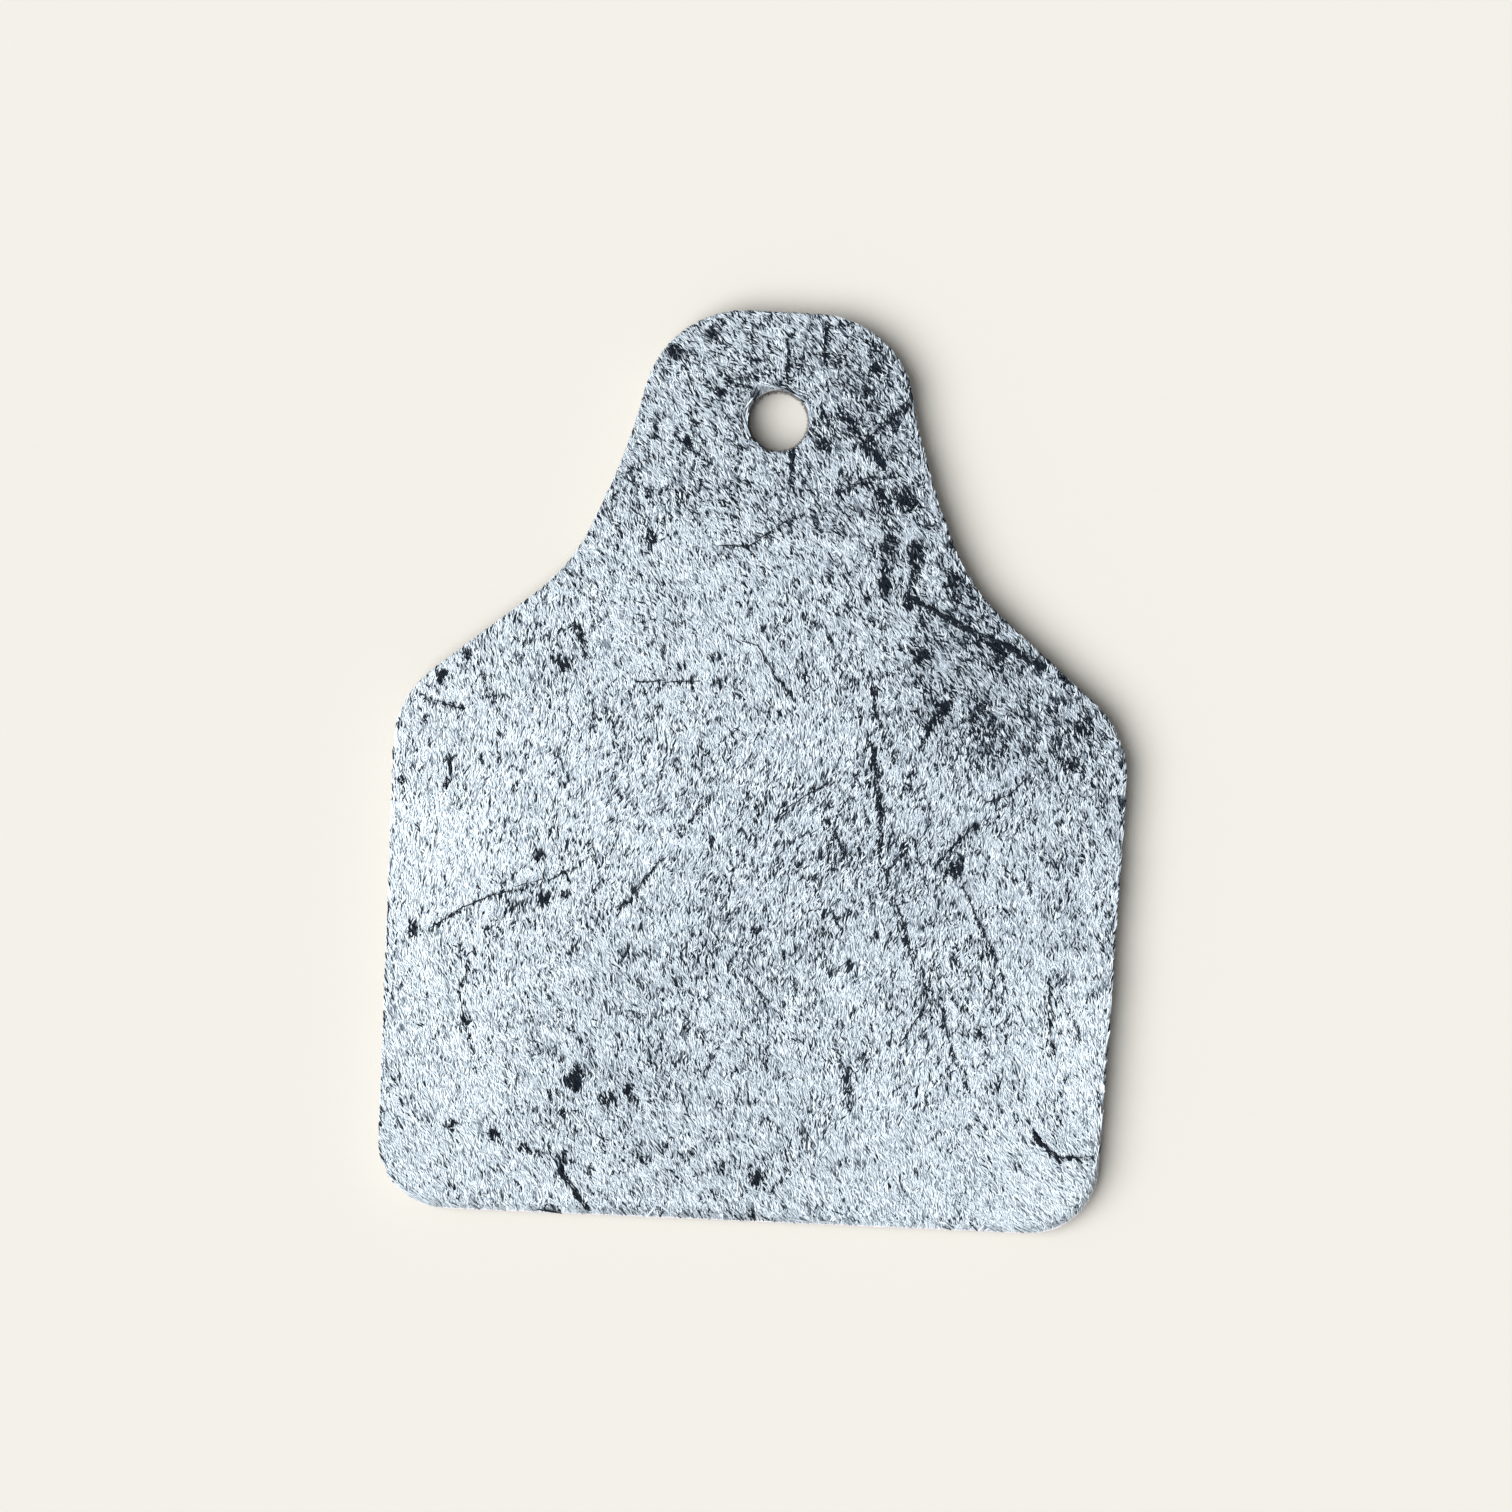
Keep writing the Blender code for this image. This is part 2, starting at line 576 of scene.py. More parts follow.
def blended(
    places: np.ndarray, spots: np.ndarray, values: np.ndarray, sharpness: float = 3.0, softness: float = 1.0
) -> np.ndarray:
    """Spreads values from a few spots over the tag, each place taking most from its nearest.

    Args:
        places: Where the values are wanted, in mm.
        spots: Where they are known, in mm.
        values: One row for each spot.
        sharpness: The power of distance by which a spot's weight falls.
        softness: The distance in mm that is added, so that no spot's weight is without end.

    Returns:
        One row for each place.
    """
    gaps = np.linalg.norm(places[:, None] - spots[None], axis=2)
    weights = 1.0 / (gaps + softness) ** sharpness
    return (weights @ values) / weights.sum(1, keepdims=True)


@dataclass(frozen=True)
class Clouding:
    """One size of smooth random patches, and how much they change a value."""

    seed: int
    size: float
    strength: float

    def at(self, places: np.ndarray) -> np.ndarray:
        """The change at each place."""
        return self.strength * Mottle(self.seed, self.size).at(places)


@dataclass(frozen=True)
class CoatPattern:
    """How the hair lies and where it is dark."""

    lay: tuple[LayPoint, ...]
    roan: tuple[RoanPoint, ...]
    smudges: tuple[Smudge, ...]
    creases: tuple[Crease, ...]
    lay_sharpness: float = 4.5

    SWIRLS = (Clouding(11, 6.0 * MM, 7.0), Clouding(12, 1.6 * MM, 5.0))
    CLUSTERS = (Clouding(21, 1.1 * MM, 0.9), Clouding(22, 4.0 * MM, 0.5))
    PALE_CLOUDS = Clouding(23, 2.4 * MM, 0.03)
    RAGGED = (Clouding(24, 0.7 * MM, 0.24), Clouding(25, 0.7 * MM, 0.24))
    FALL_OFF = 4

    def heading(self, places: np.ndarray) -> np.ndarray:
        """The way that the hair lies at each place, in radians."""
        spots = np.array([(p.x, p.y) for p in self.lay])
        angles = np.radians([p.heading for p in self.lay])
        ahead = np.stack([np.cos(angles), np.sin(angles)], 1)
        ways = blended(places / MM, spots, ahead, self.lay_sharpness)
        swirl = sum(clouding.at(places) for clouding in self.SWIRLS)
        return np.arctan2(ways[:, 1], ways[:, 0]) + np.radians(swirl)

    def roan_at(self, places: np.ndarray) -> tuple[np.ndarray, np.ndarray]:
        """The share of dark locks at each place, without the marks, and the tone of the palest, part
        whiteness and part painted light.
        """
        spots = np.array([(p.x, p.y) for p in self.roan])
        values = np.array([(p.dark, p.pale) for p in self.roan])
        share, pale = blended(places / MM, spots, values).T
        clusters = 1.0 + sum(clouding.at(places) for clouding in self.CLUSTERS)
        return share * clusters, (pale + self.PALE_CLOUDS.at(places)).clip(0.0, 1.0)

    def mark(self, places: np.ndarray) -> np.ndarray:
        """How strongly the smudges and creases darken each place, from 0 to 1."""
        at = places / MM + np.stack([clouding.at(places) for clouding in self.RAGGED], 1)
        clear = np.ones(len(at))
        for s in self.smudges:
            gap = np.linalg.norm(at - (s.x, s.y), axis=1) / s.radius
            clear *= 1.0 - s.strength * np.exp(-(gap**self.FALL_OFF))
        for c in self.creases:
            clear *= 1.0 - c.strength * np.exp(-((c.gap(at) / c.width) ** self.FALL_OFF))
        return 1.0 - clear


# ---------------------------------------------------------------- strands


@dataclass(frozen=True)
class Strands:
    """A bundle of hairs or fibres: each is a closed, tapering, three-sided tube with one broad face.

    paths holds each strand's points from root to tip, and radii its radius at all but the tip. tones holds
    its shade from 0 to 1, and spans where along its full length it starts and ends, for its colour. The
    broad face looks along faces, and is shaded nearly flat.
    """

    paths: np.ndarray
    radii: np.ndarray
    tones: np.ndarray
    spans: np.ndarray
    faces: tuple[float, float, float] = (0.0, 0.0, 1.0)

    SIDES = 3
    CORNERS = (30.0, 150.0, 270.0)
    SHADED_AS = (68.0, 112.0, 270.0)
    FLATNESS = 0.7
    TONE_WIDTH = 0.006
    MAP_MARGIN = 0.01

    def part(self, chosen: np.ndarray) -> Strands:
        """The bundle's chosen strands."""
        paths, radii = self.paths[chosen], self.radii[chosen]
        return Strands(paths, radii, self.tones[chosen], self.spans[chosen], self.faces)

    def _axes(self) -> tuple[np.ndarray, np.ndarray]:
        """At each point, the direction across the broad face, and the direction that it looks in."""
        along = np.gradient(self.paths, axis=1)
        along /= np.linalg.norm(along, axis=2, keepdims=True) + TINY
        side = np.cross(along, self.faces)
        side /= np.linalg.norm(side, axis=2, keepdims=True) + TINY
        return side, np.cross(side, along)

    def _around(self, angles: tuple[float, ...], flatness: float) -> np.ndarray:
        """Directions round each strand, at every point but its tip.

        Args:
            angles: Where they lie round it, in degrees.
            flatness: How much shorter they are towards the broad face.

        Returns:
            One row of directions for each point.
        """
        side, over = self._axes()
        turn = np.radians(angles)[:, None]
        return side[:, :-1, None] * np.cos(turn) + flatness * over[:, :-1, None] * np.sin(turn)

    def _rings(self) -> np.ndarray:
        """Each strand's vertices: a ring at every point, and one at the tip."""
        spokes = self._around(self.CORNERS, self.FLATNESS)
        rings = self.paths[:, :-1, None] + self.radii[:, :, None, None] * spokes
        return np.concatenate([rings.reshape(len(self.paths), -1, 3), self.paths[:, -1:]], 1)

    def _normals(self) -> np.ndarray:
        """The way that each vertex is shaded as looking in."""
        around = self._around(self.SHADED_AS, 1.0)
        return np.concatenate([around.reshape(len(self.paths), -1, 3), self._axes()[1][:, -1:]], 1)

    def _faces(self) -> np.ndarray:
        """The triangles of one strand, as indices into its own vertices."""
        sides, rings = self.SIDES, self.radii.shape[1]
        tip = sides * rings
        faces = [(0, 1, 2)]
        for r in range(rings - 1):
            for j in range(sides):
                a, b = sides * r + j, sides * r + (j + 1) % sides
                faces += [(a, a + sides, b + sides), (a, b + sides, b)]
        for j in range(sides):
            faces.append((sides * (rings - 1) + j, tip, sides * (rings - 1) + (j + 1) % sides))
        return np.array(faces)

    def _map(self) -> np.ndarray:
        """Where each vertex lies on the strand map: along the strand, and by its tone."""
        steps = np.linspace(0.0, 1.0, self.paths.shape[1])
        reach = self.spans[:, :1] + (self.spans[:, 1:] - self.spans[:, :1]) * steps
        u = np.concatenate([np.repeat(reach[:, :-1], self.SIDES, axis=1), reach[:, -1:]], 1)
        shift = np.tile([-self.TONE_WIDTH, 0.0, self.TONE_WIDTH], self.radii.shape[1])
        v = self.tones[:, None] + np.append(shift, 0.0)
        return self.MAP_MARGIN + (1.0 - 2.0 * self.MAP_MARGIN) * np.stack([u, v.clip(0.0, 1.0)], 2)

    def piece(self, name: str, material: bpy.types.Material, slot: Slot) -> bpy.types.Object:
        """Makes the bundle one mesh that rides on the tag.

        Args:
            name: The piece's name.
            material: Its finish.
            slot: The record's slot, passed on to placed, which does not use it.

        Returns:
            The piece.
        """
        vertices = self._rings()
        count, each = vertices.shape[:2]
        faces = (self._faces()[None] + each * np.arange(count)[:, None, None]).reshape(-1)
        mesh = bpy.data.meshes.new(name)
        mesh.vertices.add(count * each)
        mesh.vertices.foreach_set("co", vertices.astype(np.float32).ravel())
        mesh.loops.add(len(faces))
        mesh.loops.foreach_set("vertex_index", faces.astype(np.int32))
        mesh.polygons.add(len(faces) // 3)
        mesh.polygons.foreach_set("loop_start", np.arange(0, len(faces), 3, dtype=np.int32))
        mesh.polygons.foreach_set("use_smooth", np.ones(len(faces) // 3, bool))
        mesh.update(calc_edges=True)
        corners = self._map().reshape(-1, 2)[faces].astype(np.float32).ravel()
        for layer in (STRAND_MAP, BAKE_MAP):
            mesh.uv_layers.new(name=layer, do_init=False).uv.foreach_set("vector", corners)
        mesh.materials.append(material)
        mesh.normals_split_custom_set_from_vertices(self._normals().reshape(-1, 3))
        return placed(name, mesh, slot)


def placed(name: str, mesh: bpy.types.Mesh, slot: Slot) -> bpy.types.Object:
    """Puts a mesh in the scene as a piece that rides on the tag.

    Args:
        name: The piece's name.
        mesh: Its mesh, in the row frame.
        slot: Not used.

    Returns:
        The piece.
    """
    piece = bpy.data.objects.new(name, mesh)
    bpy.context.scene.collection.objects.link(piece)
    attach(piece, BODY)
    log.info("%s: %d faces", name, len(mesh.polygons))
    return piece


# ---------------------------------------------------------------- the hide


@dataclass(frozen=True)
class CutLayer:
    """One layer of the hide: a closed slab with gently waved faces and a fibrous cut edge."""

    name: str
    foot: float
    top: float
    seed: int
    edge_spacing: float = 0.4 * MM
    fill_spacing: float = 1.4 * MM
    fill_margin: float = 0.8 * MM
    rim_width: float = 0.35 * MM
    walls: int = 6
    wander: float = 0.035 * MM
    round_off: float = 0.05 * MM
    roughness_size: float = 0.5 * MM
    wave: float = 0.03 * MM
    wave_length: float = 5.0 * MM

    TOP_WAVES = 1
    FOOT_WAVES = 2
    LAYERING = 3
    SHARP_ABOVE = math.radians(50.0)
    SAME_PLACE = 1e-9

    def build(
        self, outline: CutOutline, edges: EdgeField, finishes: tuple[bpy.types.Material, ...]
    ) -> bpy.types.Mesh:
        """Makes the slab.

        Args:
            outline: The cut edges.
            edges: The depth inside them.
            finishes: The materials of its upper face, its cut edge, its hole's edge and its lower face.

        Returns:
            The slab's mesh.
        """
        loops = tuple(outline.evenly(loop, self.edge_spacing) for loop in (outline.rim, outline.hole))
        sizes = [len(loop) for loop in loops]
        size = sum(sizes)
        rings = self._rings(loops)
        walls = self._walls(sizes, len(rings))
        filling = self._filling(edges)
        top_faces = self._fill(rings[-1], sizes, filling)
        low_faces = self._fill(rings[0], sizes, filling)
        base = size * len(rings)
        upper = np.where(top_faces < size, top_faces + size * (len(rings) - 1), top_faces - size + base)
        lower = np.where(low_faces < size, low_faces, low_faces - size + base + len(filling))[:, ::-1]
        upper_points = self._waved(filling, self.top, self.TOP_WAVES)
        lower_points = self._waved(filling, self.foot, self.FOOT_WAVES)
        points = np.concatenate([*rings, upper_points, lower_points])
        mesh = bpy.data.meshes.new(self.name)
        mesh.from_pydata(points.tolist(), [], [*upper.tolist(), *walls.tolist(), *lower.tolist()])
        for finish in finishes:
            mesh.materials.append(finish)
        around_hole = walls[:, 0] % size >= sizes[0]
        slots = [0] * len(upper) + [1 + int(hole) for hole in around_hole] + [3] * len(lower)
        mesh.polygons.foreach_set("material_index", slots)
        mesh.shade_smooth()
        mesh.set_sharp_from_angle(angle=self.SHARP_ABOVE)
        return mesh

    def _waved(self, places: np.ndarray, height: float, salt: int) -> np.ndarray:
        """Places raised to a height, with gentle waves."""
        waves = self.wave * Mottle(self.seed + salt, self.wave_length).at(places)
        return np.column_stack([places, height + waves])

    def _rings(self, loops: tuple[np.ndarray, ...]) -> list[np.ndarray]:
        """The loops of the cut edge from the lower face up, and last the inner edge of the upper rim."""
        rings = []
        start = np.concatenate([np.arange(len(loop)) for loop in loops]) * self.edge_spacing
        flat = np.concatenate(loops)
        outward = np.concatenate([CutOutline.outward(loop) for loop in loops])
        rough = Mottle(self.seed, self.roughness_size)
        for r in range(self.walls):
            share = r / (self.walls - 1)
            height = self.foot + (self.top - self.foot) * share
            ends = share in (0.0, 1.0)
            spots = np.column_stack([start + flat[:, 1], np.full(len(flat), height * self.LAYERING)])
            shift = self.wander * rough.at(spots)
            moved = flat + outward * (shift - self.round_off * ends - self.wander)[:, None]
            rings.append(self._waved(moved, height, self.TOP_WAVES if r else self.FOOT_WAVES))
        rings.append(self._waved(flat - outward * self.rim_width, self.top, self.TOP_WAVES))
        return rings

    @staticmethod
    def _walls(sizes: list[int], rings: int) -> np.ndarray:
        """The quads between the rings, facing out of the hide."""
        quads, first, total = [], 0, sum(sizes)
        for size in sizes:
            at = first + np.arange(size)
            after = first + (np.arange(size) + 1) % size
            for r in range(rings - 1):
                low, high = total * r, total * (r + 1)
                quads.append(np.stack([at + low, after + low, after + high, at + high], 1))
            first += size
        return np.concatenate(quads)

    def _filling(self, edges: EdgeField) -> np.ndarray:
        """Points spread over the inside of a face."""
        draw = np.random.default_rng(self.seed)
        places = jittered_grid(edges, self.fill_spacing, draw)
        return places[edges.at(places) > self.fill_margin]

    @staticmethod
    def _fill(ring: np.ndarray, sizes: list[int], filling: np.ndarray) -> np.ndarray:
        """The triangles of one face, facing up, as indices into its ring and then its filling."""
        rim, hole = sizes
        points = [Vector(p) for p in np.concatenate([ring[:, :2], filling])]
        edges = [(i, (i + 1) % rim) for i in range(rim)]
        edges += [(rim + i, rim + (i + 1) % hole) for i in range(hole)]
        corners, _, faces, *_ = delaunay_2d_cdt(points, edges, [], 1, CutLayer.SAME_PLACE)
        if len(corners) != len(points):
            raise ValueError("the outline's points met each other")
        triangles = np.array(faces)
        in_hole = ((triangles >= rim) & (triangles < rim + hole)).all(1)
        triangles = triangles[~in_hole]
        flat = np.array([tuple(c) for c in corners])[triangles]
        first, second = flat[:, 1] - flat[:, 0], flat[:, 2] - flat[:, 0]
        turned = first[:, 0] * second[:, 1] - first[:, 1] * second[:, 0] < 0
        triangles[turned] = triangles[turned][:, ::-1]
        return triangles


def jittered_grid(
    edges: EdgeField, spacing: float, draw: np.random.Generator, loose: float = 0.42
) -> np.ndarray:
    """Places over the whole edge field, in staggered rows, each moved a little at random.

    Args:
        edges: The field that they cover.
        spacing: The distance between rows and between places in a row.
        draw: The source of chance.
        loose: How far a place may move, as a share of the spacing.

    Returns:
        The places.
    """
    span = edges.cell * (edges.count - 1)
    across, up = (span / spacing).astype(int)
    x, y = np.meshgrid(np.arange(across), np.arange(up), indexing="ij")
    grid = np.stack([x + 0.5 * (y % 2), y], 2).reshape(-1, 2).astype(float)
    grid += draw.uniform(-loose, loose, grid.shape)
    return edges.low + grid * spacing


@dataclass(frozen=True)
class Hide:
    """The hide itself: the corium with its napped flesh side, and the grain layer on it."""

    flesh_lift: float = 0.12 * MM
    grain_walls: int = 3
    grain_wander: float = 0.02 * MM
    corium_seed: int = 31
    grain_seed: int = 41

    def _corium(self) -> CutLayer:
        """The corium, which reaches up to the grain layer's foot, so that the CAD's gap is closed."""
        low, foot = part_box("corium")[0].z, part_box("grain_layer")[0].z
        return CutLayer("corium_body", low + self.flesh_lift, foot, self.corium_seed)

    def _grain(self) -> CutLayer:
        """The grain layer, at its height in the CAD."""
        foot, top = (corner.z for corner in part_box("grain_layer"))
        return CutLayer(
            "grain_skin", foot, top, self.grain_seed, walls=self.grain_walls, wander=self.grain_wander
        )

    def build(self, outline: CutOutline, edges: EdgeField) -> tuple[bpy.types.Object, bpy.types.Object]:
        """Makes both layers and dresses them.

        Args:
            outline: The cut edges.
            edges: The depth inside them.

        Returns:
            The corium and the grain layer.
        """
        # The hole's walls take the darker finish, as painted shade inside the hole.
        suede, cut, punched = SUEDE.material(), CUT_CORIUM.material(), SHADED_HOLE_EDGE.material()
        lower = self._corium().build(outline, edges, (cut, cut, punched, suede))
        corium = placed("corium_body", lower, Slot.FLESH)
        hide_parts("corium")
        skin, rim = HAIRY_SKIN.material(), CUT_GRAIN.material()
        upper = self._grain().build(outline, edges, (skin, rim, punched, rim))
        grain = placed("grain_skin", upper, Slot.SKIN)
        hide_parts("grain_layer")
        return corium, grain


# ---------------------------------------------------------------- the coat


@dataclass(frozen=True)
class Locks:
    """Where the coat's locks grow, and what the hairs of each share."""

    places: np.ndarray
    headings: np.ndarray
    lengths: np.ndarray
    lifts: np.ndarray
    bends: np.ndarray
    tones: np.ndarray


@dataclass(frozen=True)
class HairCoat:
    """The coat: locks of a few hairs each, which lie along the pattern's headings, tips over roots.

    A pair of numbers gives the least and the most of what is dealt out evenly.
    """

    skin: float
    height: float
    lock_spacing: float = 0.30 * MM
    hairs_per_lock: int = 2
    lock_radius: float = 0.10 * MM
    lock_turn: float = 18.0
    lock_bend: float = 0.3 * MM
    tip_gather: float = 0.5
    hair_length: float = 2.8 * MM
    hair_radius: float = 0.070 * MM
    hair_turn: float = 9.0
    hair_bend: float = 0.07 * MM
    rise_power: float = 0.55
    sink: float = 0.08 * MM
    rim_low: float = 0.04 * MM
    rim_high: float = 0.18 * MM
    overhang: float = 0.06 * MM
    mid_share: float = 0.12
    pale_spread: float = 0.16
    tone_spread: float = 0.06
    dark_width: float = 1.2
    dark_lift: float = 1.04
    # Painted shade along the cut edges: how wide the band is, and how many of its hairs turn dark.
    edge_band: float = 0.12 * MM
    edge_shade: float = 0.28
    per_piece: int = 12000
    seed: int = 7

    STEPS = (0.0, 0.45, 0.88, 1.0)
    THICKNESS = (0.8, 1.0, 0.95)
    LOCK_LENGTHS = (0.6, 1.4)
    LENGTH_SPREAD = 0.16
    FURTHEST_ROOT = 1.1
    LOCK_LIFTS = (0.89, 0.97)
    HAIR_LIFTS = (0.96, 1.0)
    HAIR_LENGTHS = (0.82, 1.08)
    HAIR_WIDTHS = (0.8, 1.2)
    EMERGES_OVER = 0.3
    SHORTEST_KEPT = 0.08
    SEEN_AT = 0.92
    DARKEST = 0.22
    MARK_TONES = (0.0, 0.6)
    DARK_BELOW = 0.3
    GREY_TONES = (0.45, 0.3)
    CUT_CHECKS = 17
    UNEVEN_CUT = 0.3

    def grow(self, pattern: CoatPattern, edges: EdgeField) -> Strands:
        """Grows every hair of the coat.

        Args:
            pattern: How the hair lies and where it is dark.
            edges: The depth inside the cut edges.

        Returns:
            The hairs, from the base to the crown.
        """
        draw = np.random.default_rng(self.seed)
        locks = self._locks(pattern, edges, draw)
        each = np.repeat(np.arange(len(locks.places)), self.hairs_per_lock)
        count = len(each)
        along = self._routes(locks, each, draw)
        start, end = self._cut(along, edges, draw, count)
        kept = np.flatnonzero(end - start > self.SHORTEST_KEPT)
        seen = along(start + self.SEEN_AT * (end - start))
        # Painted shade: hairs seen within edge_band of a cut edge turn dark at this chance, which draws a
        # dark line along the edges.
        painted_edge_shade = self.edge_shade * (edges.at(seen) < self.edge_band)
        marked = draw.uniform(0.0, 1.0, count) < np.maximum(pattern.mark(seen), painted_edge_shade)
        marks = self.DARKEST * draw.uniform(*self.MARK_TONES, count)
        tones = np.where(marked, marks, locks.tones[each])
        dark = tones < self.DARK_BELOW
        rise = locks.lifts[each] * draw.uniform(*self.HAIR_LIFTS, count)
        rise *= np.where(dark, self.dark_lift, 1.0)
        steps = np.array(self.STEPS)
        t = start[:, None] + (end - start)[:, None] * steps
        flat = np.stack([along(t[:, k]) for k in range(len(steps))], 1)
        emerging = ((t - start[:, None]) / self.EMERGES_OVER).clip(0.0, 1.0)
        high = self.skin - self.sink + (rise[:, None] + self.sink) * t**self.rise_power * emerging
        high[:, 0] = self.skin - self.sink
        paths = np.concatenate([flat, high[:, :, None]], 2)
        radii = self.hair_radius * draw.uniform(*self.HAIR_WIDTHS, count)[:, None] * np.array(self.THICKNESS)
        radii *= np.where(dark, self.dark_width, 1.0)[:, None]
        tones = (tones + draw.normal(0.0, self.tone_spread, count)).clip(0.0, 1.0)
        hairs = Strands(paths, radii, tones, np.stack([start, end], 1)).part(kept)
        return hairs.part(np.argsort(hairs.paths[:, 0, 1], kind="stable"))

    def _locks(self, pattern: CoatPattern, edges: EdgeField, draw: np.random.Generator) -> Locks:
        """Places the locks, those too that stand off the hide but reach over it."""
        places = jittered_grid(edges, self.lock_spacing, draw)
        places = places[edges.at(places) > -self.FURTHEST_ROOT * self.hair_length]
        count = len(places)
        headings = pattern.heading(places) + np.radians(draw.normal(0.0, self.lock_turn, count))
        shares = draw.normal(1.0, self.LENGTH_SPREAD, count).clip(*self.LOCK_LENGTHS)
        lengths = self.hair_length * shares
        lifts = self.height * draw.uniform(*self.LOCK_LIFTS, count)
        bends = draw.normal(0.0, self.lock_bend, count)
        way = np.stack([np.cos(headings), np.sin(headings)], 1)
        tones = self._tones(pattern, places + way * (self.SEEN_AT * lengths)[:, None], draw)
        return Locks(places, headings, lengths, lifts, bends, tones)

    def _routes(
        self, locks: Locks, each: np.ndarray, draw: np.random.Generator
    ) -> Callable[[np.ndarray], np.ndarray]:
        """Lays every hair out on the level.

        Args:
            locks: The locks.
            each: Which lock each hair belongs to.
            draw: The source of chance.

        Returns:
            A function that gives every hair's level place at a share of its length.
        """
        count = len(each)
        turn = draw.uniform(0.0, math.tau, count)
        spread = self.lock_radius * np.sqrt(draw.uniform(0.0, 1.0, count))
        offset = np.stack([np.cos(turn), np.sin(turn)], 1) * spread[:, None]
        angle = locks.headings[each] + np.radians(draw.normal(0.0, self.hair_turn, count))
        ahead = np.stack([np.cos(angle), np.sin(angle)], 1)
        aside = np.stack([-ahead[:, 1], ahead[:, 0]], 1)
        reach = locks.lengths[each] * draw.uniform(*self.HAIR_LENGTHS, count)
        curl = locks.bends[each] + draw.normal(0.0, self.hair_bend, count)

        def along(t: np.ndarray) -> np.ndarray:
            """The level place of each hair at its share t of its length."""
            gather = 1.0 - (1.0 - self.tip_gather) * t
            flat = locks.places[each] + offset * gather[:, None]
            return flat + ahead * (reach * t)[:, None] + aside * (curl * t * t)[:, None]

        return along

    def _tones(self, pattern: CoatPattern, places: np.ndarray, draw: np.random.Generator) -> np.ndarray:
        """Picks the shade of each lock that shows at these places: dark, grey or pale."""
        dark, pale = pattern.roan_at(places)
        chance = draw.uniform(0.0, 1.0, len(places))
        shade = draw.uniform(0.0, 1.0, len(places))
        tone = pale - self.pale_spread * (1.0 - shade)
        middling = chance < dark + self.mid_share * (1.0 + dark)
        low, span = self.GREY_TONES
        tone[middling] = (low + span * shade[middling]) * pale[middling]
        darkened = chance < dark
        tone[darkened] = self.DARKEST * shade[darkened]
        return tone

    def _cut(
        self,
        along: Callable[[np.ndarray], np.ndarray],
        edges: EdgeField,
        draw: np.random.Generator,
        count: int,
    ) -> tuple[np.ndarray, np.ndarray]:
        """Finds where each hair enters the tag and where the die has cut it off.

        Args:
            along: Gives every hair's place at a share of its length.
            edges: The depth inside the cut edges.
            draw: The source of chance.
            count: How many hairs there are.

        Returns:
            The shares of its length at which each hair starts and ends; both are 1 where it never enters.
        """
        shares = np.linspace(0.0, 1.0, self.CUT_CHECKS)
        depth = np.stack([edges.at(along(np.full(count, s))) for s in shares], 1)
        rooted = depth > draw.uniform(self.rim_low, self.rim_high, count)[:, None]
        first = np.where(rooted.any(1), rooted.argmax(1), self.CUT_CHECKS - 1)
        off = depth < -draw.uniform(0.0, self.overhang, count)[:, None]
        off &= np.arange(self.CUT_CHECKS) > first[:, None]
        last = np.where(off.any(1), off.argmax(1) - 1, self.CUT_CHECKS - 1)
        fine = draw.uniform(0.0, 1.0 / (self.CUT_CHECKS - 1), count)
        end = shares[last] + np.where(off.any(1), self.UNEVEN_CUT * fine, 0.0)
        return shares[first], np.maximum(end, shares[first])

    def build(
        self, pattern: CoatPattern, edges: EdgeField, finish: bpy.types.Material
    ) -> list[bpy.types.Object]:
        """Grows the coat and makes its pieces, each a swath across the tag.

        Args:
            pattern: How the hair lies and where it is dark.
            edges: The depth inside the cut edges.
            finish: The hair's material.

        Returns:
            The swaths, from the base to the crown.
        """
        hairs = self.grow(pattern, edges)
        count = len(hairs.tones)
        pieces = []
        for swath in np.array_split(np.arange(count), math.ceil(count / self.per_piece)):
            piece = hairs.part(swath).piece(f"coat_swath_{len(pieces) + 1}", finish, Slot.HAIR)
            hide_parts("hair_coat")
            pieces.append(piece)
        return pieces


